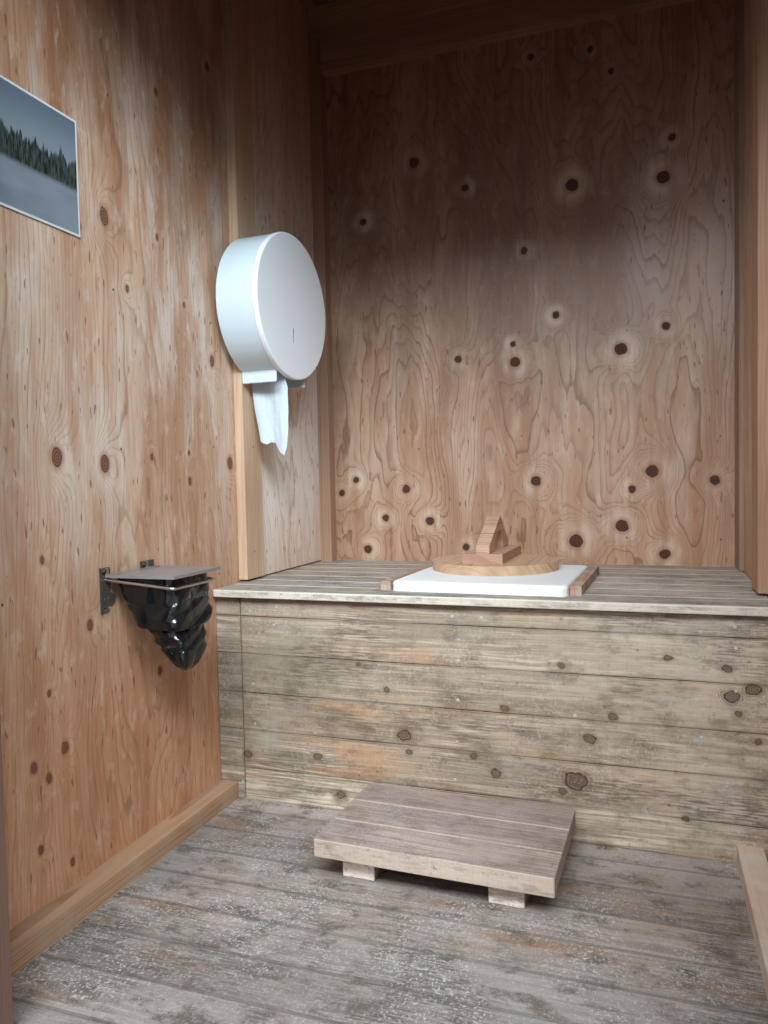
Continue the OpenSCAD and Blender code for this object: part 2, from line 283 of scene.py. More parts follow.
def knots_on(r, plane, knots):
    """Chain of knots at points (x, y, z) in the row frame, flattened to a plane."""
    ripple = r.plus(r.noise(row_place(r), 55.0, 1.0), -0.5)
    ragged = r.join(r.times(ripple, 0.007), r.times(ripple, 0.005), r.times(ripple, -0.008))
    loose = r.stretch(r.shift(row_place(r), ragged), plane)
    near, bumps = 40.0, 0.0
    for centre, radius in knots:
        flat = tuple(c * p for c, p in zip(centre, plane))
        near, bumps = r.use(KNOT, Place=loose, Centre=flat, Radius=radius, Near=near, Bumps=bumps)
    return near, bumps


def bump(r, shader, height, depth, strength=1.0):
    node = r.put("ShaderNodeBump", {"Strength": strength, "Distance": depth, "Height": height})
    r.feed(shader.inputs["Normal"], node.outputs[0])


def roof_shade(r, colour):
    """Painted shade: darker and browner toward the roof, where the roof and the door header shade the upper walls."""
    height = r.fade(r.parts(row_place(r))[2], FLOOR + 1.15, FLOOR + 2.15)
    return r.mix(height, colour, r.mix(1.0, colour, (0.42, 0.25, 0.175, 1), blend="MULTIPLY"))


def timber(name, place_of, pale, dark, ring=0.005, wander=0.02, rough=0.62, wear=None, knots=()):
    """Planed or sawn pine; place_of gives the along, across and depth vector."""
    material, r, shader = new_material(name)
    near, bumps = 40.0, 0.0
    if knots:
        near, bumps = knots_on(r, *knots)
    late, fibre, tone = r.use(SAWN, Place=place_of(r), Ring=ring, Wander=wander, Bumps=bumps)
    colour = r.mix(late, pale, dark)
    colour = r.mix(r.fade(fibre, 0.35, 0.7, 0.0, 0.35), colour, dark)
    colour = r.mix(r.fade(tone, 0.3, 0.75, 0.0, 0.35), colour, tuple(0.62 * c for c in dark[:3]) + (1,))
    height = r.plus(r.times(late, 0.5), r.times(fibre, 0.5))
    if wear:
        patch, speck = r.use(DIRT, Place=row_place(r), Size=wear["size"])
        colour = r.mix(r.times(patch, wear["grey"]), colour, wear["colour"])
        colour = r.mix(r.times(speck, wear["specks"]), colour, wear["dark"])
    if knots:
        colour = r.mix(r.fade(near, 2.0, 1.0, 0.0, 0.5), colour, (0.16, 0.07, 0.03, 1))
        colour = r.mix(r.fade(near, 1.05, 0.85), colour, (0.045, 0.02, 0.012, 1))
    # Base colour, with painted roof shade toward the top
    r.feed(shader.inputs["Base Color"], roof_shade(r, colour))
    r.feed(shader.inputs["Roughness"], r.fade(fibre, 0.2, 0.8, rough - 0.08, rough + 0.1))
    bump(r, shader, height, 0.0006, 0.6)
    return material


def patch_share(r, centre, reach, grain=(12, 12, 60)):
    """Share of one patch of colour: full near its centre, and none beyond its reach."""
    away = r.stretch(r.shift(row_place(r), tuple(-c for c in centre)), tuple(1 / c for c in reach))
    length = r.put("ShaderNodeVectorMath", {0: away}, operation="LENGTH").outputs["Value"]
    ragged = r.noise(r.stretch(row_place(r), grain), 1.0, 4.0, 0.6)
    return r.fade(r.plus(length, r.times(r.plus(ragged, -0.5), 2.0)), 1.2, 0.1)


def weathered(name, tints, shares, knots=(), colour_patches=()):
    """Old bare boards: streaks, film, mould, amber and dust in patches; edges paler with wear on some boards and darker
    with dirt and painted seam shade on others; and faces toward the doorway paler, partly wear and partly painted
    light.
    """
    material, r, shader = new_material(name)
    near, bumps = 40.0, 0.0
    if knots:
        near, bumps = knots_on(r, *knots)
    place = grain_place(r)
    row = row_place(r)
    late, fibre, tone = r.use(SAWN, Place=place, Ring=0.0042, Wander=0.03, Bumps=bumps)
    board_tone = r.put("ShaderNodeAttribute", attribute_name="board_tone").outputs["Fac"]
    edge = r.put("ShaderNodeAttribute", attribute_name="edge").outputs["Fac"]
    streak = r.noise(r.stretch(place, (5, 210, 210)), 1.0, 4.0, 0.65)
    colour = r.mix(r.times(late, shares["rings"]), tints["pale"], tints["dark"])
    colour = r.mix(r.fade(streak, 0.43, 0.62, 0.0, shares["streaks"]), colour, tints["dark"])
    band = r.noise(r.stretch(place, (2.5, 70, 70)), 1.0, 4.0, 0.6, 0.4)
    colour = r.mix(r.fade(band, 0.44, 0.60, 0.0, shares["bands"]), colour, tints["dark"])
    colour = r.mix(r.times(board_tone, shares["boards"]), colour, tints["dark"])
    film = r.noise(r.shift(row, (7.0, 2.0, 5.0)), 3.4, 5.0, 0.6)
    colour = r.mix(r.fade(film, 0.42, 0.64, 0.0, shares["film"]), colour, tints["film"])
    amber = r.noise(r.stretch(place, (3.5, 13, 13)), 1.0, 3.0)
    colour = r.mix(r.fade(amber, 0.56, 0.72, 0.0, shares["amber"]), colour, tints["amber"])
    for centre, reach, tint, share in colour_patches:
        colour = r.mix(r.times(patch_share(r, centre, reach), share), colour, tint)
    damp = r.noise(r.stretch(row, (3.6, 3.6, 8)), 1.0, 4.0, 0.62)
    thread = r.noise(r.stretch(place, (22, 260, 260)), 1.0, 4.0, 0.65)
    mould = r.times(r.fade(damp, 0.45, 0.62), r.fade(thread, 0.42, 0.60))
    colour = r.mix(r.times(mould, shares["mould"]), colour, tints["mould"])
    grime = r.noise(r.stretch(row, (1, 1.7, 1.7)), 15.0, 6.0, 0.72)
    colour = r.mix(r.fade(grime, 0.48, 0.66, 0.0, shares["grime"]), colour, tints["mould"])
    # Faces turned toward the doorway are paler in uneven patches: partly wear, partly painted light from the doorway
    facing = r.parts(r.put("ShaderNodeNewGeometry").outputs["Normal"])[1]
    front_unevenness = r.noise(r.stretch(row, (14, 14, 45)), 1.0, 4.0, 0.72)
    front_wear_and_painted_light = r.times(r.fade(facing, -0.5, -0.9), r.fade(front_unevenness, 0.36, 0.54, 0.3, 1.0))
    colour = r.mix(r.times(front_wear_and_painted_light, shares["front"]), colour, tints["front"])
    patch, speck = r.use(DIRT, Place=row, Size=6.0)
    fine = r.noise(row, 210.0, 3.0, 0.75)
    dry = r.times(r.plus(r.times(patch, 0.75), 0.25), r.fade(fine, 0.52, 0.64))
    colour = r.mix(r.times(dry, shares["dust"]), colour, tints["dust"])
    drip = r.noise(r.stretch(row, (48, 1, 2.2)), 1.0, 3.0)
    colour = r.mix(r.fade(drip, 0.56, 0.74, 0.0, shares["drips"]), colour, tints["mould"])
    colour = r.mix(r.times(speck, 0.45), colour, tuple(0.5 * c for c in tints["mould"][:3]) + (1,))
    # Edges: paler with wear on the bench top and step; darker on the bench front and floor, which is dirt and painted
    # shade in the seams
    wear_and_seam_shade = r.fade(r.plus(edge, r.times(r.plus(fine, -0.5), 0.9)), 0.40, 0.80)
    colour = r.mix(r.times(wear_and_seam_shade, shares["edges"]), colour, tints["edges"])
    if knots:
        near = r.plus(near, r.times(r.plus(r.noise(row, 85.0, 3.0), -0.5), 0.9))
        rings = r.fade(r.math("FRACT", r.times(near, 3.0)), 0.3, 0.8, 0.35, 0.95)
        swirl = r.times(r.fade(near, 3.4, 1.1), r.fade(r.math("FRACT", r.times(near, 2.6)), 0.45, 0.85))
        colour = r.mix(r.times(swirl, 0.6), colour, (0.16, 0.10, 0.06, 1))
        colour = r.mix(r.fade(near, 2.0, 1.0, 0.0, 0.5), colour, (0.15, 0.085, 0.05, 1))
        colour = r.mix(r.times(r.fade(near, 1.05, 0.92), rings), colour, (0.10, 0.052, 0.036, 1))
        rim = r.times(r.fade(near, 1.2, 1.04), r.fade(near, 0.85, 0.98))
        colour = r.mix(r.times(rim, 0.85), colour, (0.03, 0.018, 0.012, 1))
    saw_marks = r.noise(r.stretch(place, (420, 14, 14)), 1.0, 2.0)
    colour = r.mix(r.fade(saw_marks, 0.5, 0.75, 0.0, shares["saw"]), colour, tints["dark"])
    r.feed(shader.inputs["Base Color"], colour)
    r.feed(shader.inputs["Roughness"], r.fade(streak, 0.2, 0.8, 0.58, 0.86))
    coarse = r.plus(r.times(streak, 0.6), r.times(saw_marks, 0.35))
    bump(r, shader, r.plus(coarse, r.times(fine, 0.4)), 0.0013, 0.85)
    return material


KNOT_HEART = (0.13, 0.045, 0.024, 1)
KNOT_RIM = (0.035, 0.013, 0.009, 1)


def plywood(name, across, pale, dark, sheet=0.0, lines=9.0, knots=(), pale_sheen=0.5, red=0.5, straight=4.0,
            hearts=(KNOT_HEART, KNOT_RIM), knot_sheens=0.6, colour_patches=(), figure=0.8):
    """Pine plywood: across is the axis that runs over the sheet's width."""
    material, r, shader = new_material(name)
    x, y, z = r.parts(row_place(r))
    place = r.join({"x": x, "y": y}[across], z, sheet)
    near, bumps = 40.0, 0.0
    if knots:
        near, bumps = knots_on(r, *knots)
    late, fibre, tone, streak, fleck = r.use(VENEER, Place=place, Lines=lines, Straight=straight, Bumps=bumps)
    line_colour = tuple(0.58 * c for c in dark[:3]) + (1,)
    colour = r.mix(r.fade(tone, 0.36, 0.66, 0.0, 0.8), pale, dark)
    colour = r.mix(r.fade(fibre, 0.38, 0.68, 0.0, 0.38), colour, dark)
    colour = r.mix(r.times(streak, red), colour, (0.46, 0.20, 0.10, 1))
    # Pale streaks, stronger at mid height than near the floor: painted sheen of the doorway light on the wall
    white = r.noise(r.stretch(place, (15, 2.6, 1)), 1.0, 4.0, 0.62)
    height = r.fade(r.parts(row_place(r))[2], FLOOR + 0.35, FLOOR + 0.95, 0.1, 1.0)
    colour = r.mix(r.times(r.fade(white, 0.44, 0.66, 0.0, pale_sheen), height), colour, (0.80, 0.70, 0.61, 1))
    # Patches of colour; on these walls they are painted shade and painted sheen
    for centre, reach, patch_colour, share in colour_patches:
        colour = r.mix(r.times(patch_share(r, centre, reach, (7, 7, 2)), share), colour, patch_colour)
    colour = r.mix(r.times(late, figure), colour, line_colour)
    # Pale mottle, also painted sheen
    mottle = r.noise(r.stretch(place, (42, 15, 1)), 1.0, 4.0, 0.68)
    colour = r.mix(r.fade(mottle, 0.52, 0.72, 0.0, pale_sheen * 0.6), colour, (0.84, 0.74, 0.66, 1))
    scratch = r.noise(r.stretch(place, (210, 13, 1)), 1.0, 2.0, 0.5, 0.5)
    colour = r.mix(r.fade(scratch, 0.69, 0.735, 0.0, 0.5), colour, (0.26, 0.11, 0.06, 1))
    patch, speck = r.use(DIRT, Place=r.stretch(row_place(r), (1, 1, 0.35)), Size=7.0)
    colour = r.mix(r.times(speck, 0.35), colour, (0.22, 0.10, 0.055, 1))
    colour = r.mix(r.times(fleck, 0.75), colour, (0.22, 0.085, 0.045, 1))
    if knots:
        # Painted sheen: paler wood around the knots
        knot_sheen = r.times(r.fade(near, 4.2, 1.6), r.fade(white, 0.40, 0.62, 0.15, 0.8))
        colour = r.mix(r.times(knot_sheen, knot_sheens), colour, (0.80, 0.68, 0.56, 1))
        rings = r.fade(r.math("FRACT", r.times(near, 3.2)), 0.2, 0.8)
        heart = r.mix(rings, *hearts)
        colour = r.mix(r.fade(near, 1.9, 1.0, 0.0, 0.55), colour, (0.32, 0.13, 0.055, 1))
        colour = r.mix(r.fade(near, 1.1, 0.9), colour, heart)
    low = r.fade(r.parts(row_place(r))[2], FLOOR + 0.75, FLOOR + 0.20, 0.0, 0.85)
    colour = r.mix(low, colour, r.mix(1.0, colour, (0.80, 0.62, 0.49, 1), blend="MULTIPLY"))
    # Base colour, with painted roof shade toward the top
    r.feed(shader.inputs["Base Color"], roof_shade(r, colour))
    sheen = r.fade(late, 0.0, 1.0, 0.46, 0.36)
    if knots:
        sheen = r.math("MAXIMUM", sheen, r.fade(near, 1.3, 0.95, 0.0, 0.85))
    r.feed(shader.inputs["Roughness"], sheen)
    height = r.plus(r.times(fibre, 0.6), r.times(streak, -0.5))
    bump(r, shader, height, 0.0006, 0.6)
    return material


def plain_finish(name, colour, rough, metallic=0.0, grain=300.0, depth=0.00015, tint=0.06, uneven=0.06):
    """Moulded, painted or plated finish with faint mottling and micro bump."""
    material, r, shader = new_material(name)
    fine = r.noise(row_place(r), grain, 3.0, 0.6)
    broad = r.noise(row_place(r), 9.0, 3.0)
    darker = tuple((1 - tint * 3) * c for c in colour[:3]) + (1,)
    r.feed(shader.inputs["Base Color"], r.mix(r.fade(broad, 0.3, 0.8), colour, darker))
    r.feed(shader.inputs["Roughness"], r.fade(fine, 0.2, 0.8, rough - uneven, rough + uneven))
    shader.inputs["Metallic"].default_value = metallic
    bump(r, shader, fine, depth, 0.5)
    return material


def thin_film(name, colour):
    """Glossy plastic film with sharp crumples."""
    material, r, shader = new_material(name)
    x, y, z = r.parts(row_place(r))
    place = r.join(r.plus(x, r.times(z, 0.25)), r.plus(y, r.times(z, -0.45)), r.times(z, 0.35))
    wide = r.math("ABSOLUTE", r.plus(r.noise(place, 17.0, 1.0, 0.3, 0.4), -0.5))
    small = r.math("ABSOLUTE", r.plus(r.noise(place, 45.0, 0.0, 0.3, 0.3), -0.5))
    broad = r.noise(row_place(r), 9.0, 3.0)
    r.feed(shader.inputs["Base Color"], r.mix(broad, colour, tuple(1.8 * c for c in colour[:3]) + (1,)))
    r.feed(shader.inputs["Roughness"], r.fade(broad, 0.3, 0.7, 0.08, 0.13))
    bump(r, shader, r.plus(wide, r.times(small, 0.2)), 0.010, 0.7)
    return material


def winter_card():
    """Printed card: a pale sky, a row of dark spruces and snow, in the card's own plane."""
    material, r, shader = new_material("winter_card")
    low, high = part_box("wall_print")
    x, y, z = r.parts(row_place(r))
    up = r.math("DIVIDE", r.plus(z, -low.z), high.z - low.z)
    trunks = r.noise(r.join(r.times(y, 60.0), 0.0, 0.0), 1.0, 3.0, 0.7)
    crown = r.plus(0.62, r.times(r.plus(trunks, -0.5), 0.55))
    trees = r.times(r.fade(up, r.plus(crown, 0.02), r.plus(crown, -0.02)), r.fade(up, 0.36, 0.42))
    bark = r.noise(r.stretch(row_place(r), (1, 420, 60)), 1.0, 3.0)
    sky = r.mix(r.fade(up, 0.6, 1.0), (0.23, 0.265, 0.30, 1), (0.12, 0.155, 0.20, 1))
    drift = r.noise(r.stretch(row_place(r), (1, 14, 40)), 1.0, 3.0)
    snow = r.mix(drift, (0.15, 0.18, 0.22, 1), (0.29, 0.325, 0.36, 1))
    scene_colour = r.mix(r.fade(up, 0.36, 0.42), snow, sky)
    forest = r.mix(r.fade(bark, 0.4, 0.6), (0.015, 0.02, 0.018, 1), (0.07, 0.085, 0.08, 1))
    colour = r.mix(trees, scene_colour, forest)
    border = r.math("MINIMUM", r.math("MINIMUM", r.plus(y, -low.y), r.plus(high.y, r.times(y, -1.0))),
                    r.math("MINIMUM", r.plus(z, -low.z), r.plus(high.z, r.times(z, -1.0))))
    colour = r.mix(r.fade(border, 0.0042, 0.0036), colour, (0.70, 0.71, 0.70, 1))
    r.feed(shader.inputs["Base Color"], colour)
    fine = r.noise(row_place(r), 500.0, 2.0)
    r.feed(shader.inputs["Roughness"], r.fade(fine, 0.3, 0.7, 0.28, 0.36))
    bump(r, shader, fine, 0.0002, 0.3)
    return material


def along_axis(order, turn=0.0, pith=(0.0, 0.0, 0.0)):
    """Place of a node's timber: order names the row axes that run along, across and through it."""

    def place_of(r):
        place = r.shift(row_place(r), tuple(-c for c in pith))
        if turn:
            node = r.put("ShaderNodeVectorRotate", {"Vector": place, "Angle": turn}, rotation_type="Z_AXIS")
            place = node.outputs[0]
        x, y, z = r.parts(place)
        axes = {"x": x, "y": y, "z": z}
        return r.join(*(axes[name] for name in order))

    return place_of


def dress(name, material, round_edge=0.0):
    """Gives a CAD node its finish and, for timber, softened arrises."""
    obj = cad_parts[name]
    obj.data.materials.clear()
    obj.data.materials.append(material)
    if round_edge:
        bevel = obj.modifiers.new("arris", "BEVEL")
        bevel.width = round_edge
        bevel.segments = 2
        bevel.limit_method = "ANGLE"
        bevel.angle_limit = math.radians(40)
    return obj


def settle(name, mesh, material, body="outhouse", smooth=False):
    """Makes a piece of a finished bmesh and hands it to its body."""
    bmesh.ops.recalc_face_normals(mesh, faces=mesh.faces)
    data = bpy.data.meshes.new(name)
    mesh.to_mesh(data)
    mesh.free()
    data.materials.append(material)
    if smooth:
        data.polygons.foreach_set("use_smooth", [True] * len(data.polygons))
    piece = bpy.data.objects.new(name, data)
    bpy.context.scene.collection.objects.link(piece)
    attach(piece, body)
    return piece


def add_board(mesh, low, high, along, seed, turn=None, arris=1.6, waves=0):
    """Adds one sawn board between two corners, in mm in room terms, with its own grain."""
    rng = random.Random(seed)
    grain = mesh.verts.layers.float_vector.get("grain") or mesh.verts.layers.float_vector.new("grain")
    tone = mesh.verts.layers.float.get("board_tone") or mesh.verts.layers.float.new("board_tone")
    edge = mesh.verts.layers.float.get("edge") or mesh.verts.layers.float.new("edge")
    run = "xyz".index(along)
    size = [high[i] - low[i] for i in range(3)]
    thin, wide = sorted((i for i in range(3) if i != run), key=lambda i: size[i])
    middle = [0.5 * (low[i] + high[i]) for i in range(3)]
    pith_wide = rng.uniform(-0.4, 0.4) * size[wide]
    pith_thin = rng.choice((-1, 1)) * rng.uniform(0.25, 1.2) * size[wide]
    start = rng.uniform(0, 40)
    shade = rng.random()
    half_wide, half_thin = 0.5 * size[wide], 0.5 * size[thin]
    band_wide, band_thin = min(7, 0.4 * half_wide), min(7, 0.6 * half_thin)
    # The third item marks arris points, for edge wear and painted seam shade
    corner = [(0, band_thin, 0)]
    corner += [(arris * (1 - math.cos(a)), arris * (1 - math.sin(a)), 1) for a in (0, math.pi / 4, math.pi / 2)]
    corner += [(band_wide, 0, 0)]
    section = []
    for sign_wide, sign_thin, order in ((1, 1, 1), (-1, 1, -1), (-1, -1, 1), (1, -1, -1)):
        for in_wide, in_thin, wear_and_seam_shade in corner[::order]:
            section.append((sign_wide, sign_thin, in_wide, in_thin, wear_and_seam_shade))
    stations = [(0, arris, 1), (arris, 0, 1), (7, 0, 0)]
    stations += [((k + 1) / (waves + 1) * size[run], 0, 0) for k in range(waves)]
    stations += [(size[run] - 7, 0, 0), (size[run] - arris, 0, 1), (size[run], arris, 1)]
    rings = []
    for far, inset, end_wear_and_seam_shade in stations:
        ring = []
        sway = 0.35 * math.sin(far / 90 + seed) + 0.2 * math.sin(far / 39 + 2 * seed) if waves else 0
        for sign_wide, sign_thin, in_wide, in_thin, wear_and_seam_shade in section:
            place = [0, 0, 0]
            place[run] = low[run] + far
            across = sign_wide * (half_wide - max(in_wide, inset))
            depth = sign_thin * (half_thin - max(in_thin, inset))
            place[wide] = middle[wide] + across + sway
            place[thin] = middle[thin] + depth
            spot = Vector(place)
            vert = mesh.verts.new(mm(*(turn @ spot if turn else spot)))
            vert[grain] = Vector((far * MM + start, (across - pith_wide) * MM, (depth - pith_thin) * MM))
            vert[tone] = shade
            vert[edge] = max(wear_and_seam_shade, end_wear_and_seam_shade)
            ring.append(vert)
        rings.append(ring)
    count = len(section)
    for a, b in zip(rings, rings[1:]):
        for k in range(count):
            mesh.faces.new((a[k], a[(k + 1) % count], b[(k + 1) % count], b[k]))
    mesh.faces.new(rings[0])
    mesh.faces.new(rings[-1])


def rods(mesh, path, radius, sides=10):
    """Adds a round bar along a path of points in metres."""
    rings = []
    for i, point in enumerate(path):
        ahead = (path[min(i + 1, len(path) - 1)] - path[max(i - 1, 0)]).normalized()
        side = ahead.orthogonal().normalized()
        lift = ahead.cross(side)
        rings.append([mesh.verts.new(point + radius * (side * math.cos(a) + lift * math.sin(a)))
                      for a in (2 * math.pi * k / sides for k in range(sides))])
    for a, b in zip(rings, rings[1:]):
        for k in range(sides):
            mesh.faces.new((a[k], a[(k + 1) % sides], b[(k + 1) % sides], b[k]))
    for ring in (rings[0], rings[-1]):
        mesh.faces.new(ring)


def head(mesh, centre, facing, radius=0.0035, rise=0.0008):
    """Adds one nail or screw head, a low dome at a point in metres."""
    facing = facing.normalized()
    side = facing.orthogonal().normalized()
    lift = facing.cross(side)
    sides = 12
    rings = []
    for share, up in ((1.0, -0.0004), (1.0, rise * 0.4), (0.6, rise)):
        rings.append([mesh.verts.new(centre + facing * up + radius * share *
                                     (side * math.cos(a) + lift * math.sin(a)))
                      for a in (2 * math.pi * k / sides for k in range(sides))])
    for a, b in zip(rings, rings[1:]):
        for k in range(sides):
            mesh.faces.new((a[k], a[(k + 1) % sides], b[(k + 1) % sides], b[k]))
    mesh.faces.new(rings[-1])


# Finishes
PLY_PALE = (0.64, 0.40, 0.25, 1)
PLY_DARK = (0.42, 0.20, 0.10, 1)

def back_knots():
    spots = ((363, 222, 5), (414, 163, 7), (465, 188, 5), (572, 185, 8), (663, 177, 8), (672, 137, 5),
             (524, 251, 5), (556, 315, 5), (515, 362, 7), (513, 344, 4), (458, 359, 5), (621, 349, 8),
             (666, 326, 5), (536, 481, 7), (652, 471, 8), (632, 489, 5), (622, 526, 8), (576, 541, 9),
             (665, 554, 7), (430, 521, 6), (406, 489, 6), (356, 480, 5), (342, 493, 5), (368, 549, 6),
             (466, 547, 5), (386, 518, 5), (715, 480, 6), (531, 57, 4), (590, 49, 4), (611, 71, 4))
    return [(on_plane(px, py, "y", 648), radius * 0.0021) for px, py, radius in spots]


def left_knots():
    spots = ((104, 216, 7.5), (207, 67, 5), (255, 153, 5), (57, 457, 8), (105, 464, 8), (152, 457, 3.5),
             (189, 453, 3), (190, 481, 4), (127, 288, 3.5), (184, 305, 3), (212, 361, 6), (230, 463, 7),
             (65, 748, 5.5), (34, 768, 4.5), (49, 778, 4), (90, 625, 5), (41, 850, 4), (73, 862, 3.5),
             (157, 237, 3), (156, 92, 4), (230, 101, 4), (42, 560, 3), (160, 671, 4.5), (49, 693, 3))
    return [(on_plane(px, py, "x", 0), radius * 0.0016) for px, py, radius in spots]


def front_knots():
    spots = ((318, 757, 5), (404, 735, 7), (409, 752, 3.5), (341, 795, 5), (474, 756, 4), (496, 773, 5),
             (248, 754, 5), (576, 781, 11), (563, 792, 4), (732, 697, 6.5), (753, 690, 6.5), (739, 714, 3),
             (758, 742, 3), (590, 739, 5.5), (387, 690, 3), (505, 709, 4), (613, 717, 4), (561, 665, 3),
             (668, 658, 3.5), (358, 664, 2.5), (686, 819, 3), (727, 669, 4))
    return [(on_plane(px, py, "y", 0), radius * 0.0018) for px, py, radius in spots]


def on_plane(px, py, axis, value):
    """Point of a room plane, a wall or the bench front, that shows at a pixel of the photograph."""
    camera = bpy.context.scene.camera
    look = Vector(((px - 384) / LENS_PIXELS, (512 - py) / LENS_PIXELS, -1))
    ray = camera.matrix_world.to_3x3() @ look
    eye = camera.matrix_world.translation
    k = "xyz".index(axis)
    goal = mm(*(value if n == axis else 0 for n in "xyz"))[k]
    return eye + ray * ((goal - eye[k]) / ray[k])


make_camera()

# Back wall: a darker patch of painted shade where the upper wall lies in shade, and a pale patch of painted sheen to
# its right
BACK_SHADE_AND_SHEEN = (
    (on_plane(500, 240, "y", 648), (0.85, 0.4, 0.46), (0.19, 0.10, 0.066, 1), 0.8),
    (on_plane(700, 255, "y", 648), (0.20, 0.4, 0.30), (0.66, 0.53, 0.47, 1), 0.8),
)
# Left wall: painted shade at the top, under the door header's shade, and a pale patch of painted sheen at mid height
LEFT_SHADE_AND_SHEEN = (
    (on_plane(70, 0, "x", 0), (0.3, 0.9, 0.34), (0.22, 0.09, 0.035, 1), 0.6),
    (on_plane(60, 380, "x", 0), (0.3, 0.45, 0.40), (0.78, 0.66, 0.56, 1), 0.25),
)
# Lining: a pale patch of painted sheen
LINING_SHEEN = (
    (on_plane(285, 450, "x", 0), (0.3, 0.4, 0.45), (0.97, 0.91, 0.86, 1), 0.6),
)
back_ply = plywood("back_ply", "x", (0.56, 0.36, 0.245, 1), (0.36, 0.18, 0.10, 1), 1.0, 16.0, ((1, 0, 1), back_knots()), pale_sheen=0.22, red=0.2, straight=0.6, colour_patches=BACK_SHADE_AND_SHEEN)
left_ply = plywood("left_ply", "y", (0.66, 0.43, 0.29, 1), (0.42, 0.205, 0.11, 1), 5.0, 13.0, ((0, 1, 0.72), left_knots()), pale_sheen=0.6, red=0.55, straight=5.0,
                   hearts=((0.27, 0.12, 0.07, 1), (0.11, 0.042, 0.026, 1)), knot_sheens=0.25,
                   colour_patches=LEFT_SHADE_AND_SHEEN, figure=0.5)
# The lining is painted paler than the left wall and given full pale sheen: painted sheen of the doorway light over the
# veneer's own colour
lining_ply = plywood("lining_ply", "y", (0.92, 0.77, 0.65, 1), (0.64, 0.42, 0.28, 1), 3.0, 12.0, pale_sheen=1.0, red=0.35,
                     colour_patches=LINING_SHEEN, figure=0.5)
right_ply = plywood("right_ply", "y", PLY_PALE, PLY_DARK, 9.0, 8.0)
front_ply = plywood("front_ply", "x", (0.38, 0.25, 0.165, 1), (0.25, 0.125, 0.07, 1), 13.0, 8.0, pale_sheen=0.1, red=0.3)
batten_pine = timber("batten_pine", along_axis("zyx", pith=(-0.55, 0.33, 0)), (0.70, 0.49, 0.33, 1), (0.50, 0.29, 0.165, 1))
right_batten_pine = timber("right_batten_pine", along_axis("zyx", pith=(0.66, 0.33, 0)), (0.50, 0.29, 0.19, 1),
                           (0.30, 0.145, 0.085, 1), knots=((0, 1, 1), [(on_plane(759, 481, "x", 1196), 0.014)]))
post_pine = timber("post_pine", along_axis("zyx", pith=(-0.50, 0.62, 0)), (0.47, 0.29, 0.19, 1), (0.28, 0.145, 0.085, 1))
right_post_pine = timber("right_post_pine", along_axis("zyx", pith=(0.62, 0.62, 0)), (0.38, 0.24, 0.17, 1),
                         (0.22, 0.12, 0.075, 1))
cross_pine = timber("cross_pine", along_axis("xyz", pith=(0, 0.72, 2.10)), (0.60, 0.41, 0.27, 1), (0.40, 0.22, 0.12, 1))
# Rear rail and top plate: pine under the roof, fully darkened by the painted roof shade; the rail's darker dark tone is
# also painted shade
roof_shaded_rail = timber("roof_shaded_rail", along_axis("xyz", pith=(0, 0.62, 2.15)), (0.56, 0.40, 0.27, 1), (0.30, 0.17, 0.10, 1))
roof_shaded_plate = timber("roof_shaded_plate", along_axis("xyz", pith=(0, 0.80, 2.45)), (0.62, 0.47, 0.31, 1), (0.36, 0.23, 0.13, 1))
deep_pine = timber("deep_pine", along_axis("yxz", pith=(-0.60, 0, 0.16)), (0.43, 0.252, 0.147, 1), (0.28, 0.138, 0.072, 1),
                   wear={"size": 9.0, "grey": 0.4, "colour": (0.40, 0.30, 0.22, 1), "specks": 0.5,
                         "dark": (0.14, 0.08, 0.05, 1)})
worn_plate = timber("worn_plate", along_axis("yxz", pith=(0.60, 0, 0.12)), (0.66, 0.49, 0.39, 1), (0.50, 0.31, 0.22, 1),
                    wear={"size": 14.0, "grey": 0.6, "colour": (0.64, 0.55, 0.49, 1), "specks": 0.5,
                          "dark": (0.16, 0.10, 0.07, 1)})
stained_pine = timber("stained_pine", along_axis("zyx", pith=(0.1, 0, 0)), (0.185, 0.095, 0.07, 1), (0.11, 0.055, 0.04, 1), rough=0.55)
stained_cross = timber("stained_cross", along_axis("xyz"), (0.185, 0.095, 0.07, 1), (0.11, 0.055, 0.04, 1), rough=0.55)
lid_pine = timber("lid_pine", along_axis("yxz", pith=(-0.035, 0, 0.655)), (0.66, 0.46, 0.30, 1), (0.34, 0.17, 0.08, 1), ring=0.0034)
block_pine = timber("block_pine", along_axis("xyz", pith=(0, 0.52, 0.74)), (0.62, 0.39, 0.29, 1), (0.40, 0.20, 0.13, 1), ring=0.004)
handle_pine = timber("handle_pine", along_axis("yxz", pith=(-0.003, 0, 0.70)), (0.70, 0.46, 0.33, 1), (0.30, 0.12, 0.07, 1), ring=0.0036)
guide_pine = timber("guide_pine", along_axis("yxz", pith=(0.08, 0, 0.70)), (0.46, 0.31, 0.22, 1), (0.25, 0.135, 0.085, 1),
                    wear={"size": 18.0, "grey": 0.6, "colour": (0.60, 0.51, 0.43, 1), "specks": 0.6,
                          "dark": (0.10, 0.07, 0.05, 1)})
FRONT_TINTS = {
    "pale": (0.86, 0.70, 0.53, 1), "dark": (0.22, 0.145, 0.095, 1), "film": (0.37, 0.295, 0.215, 1),
    "amber": (0.46, 0.26, 0.14, 1), "mould": (0.115, 0.078, 0.052, 1), "dust": (0.62, 0.60, 0.52, 1),
    "edges": (0.12, 0.09, 0.06, 1), "front": (0.56, 0.455, 0.335, 1),
}
FRONT_SHARES = {"rings": 0.85, "bands": 0.65, "streaks": 0.75, "boards": 0.65, "film": 0.6, "amber": 0.8, "mould": 0.8,
                "grime": 0.5, "dust": 0.45, "drips": 0.1, "saw": 0.12, "edges": 0.3, "front": 0.0}
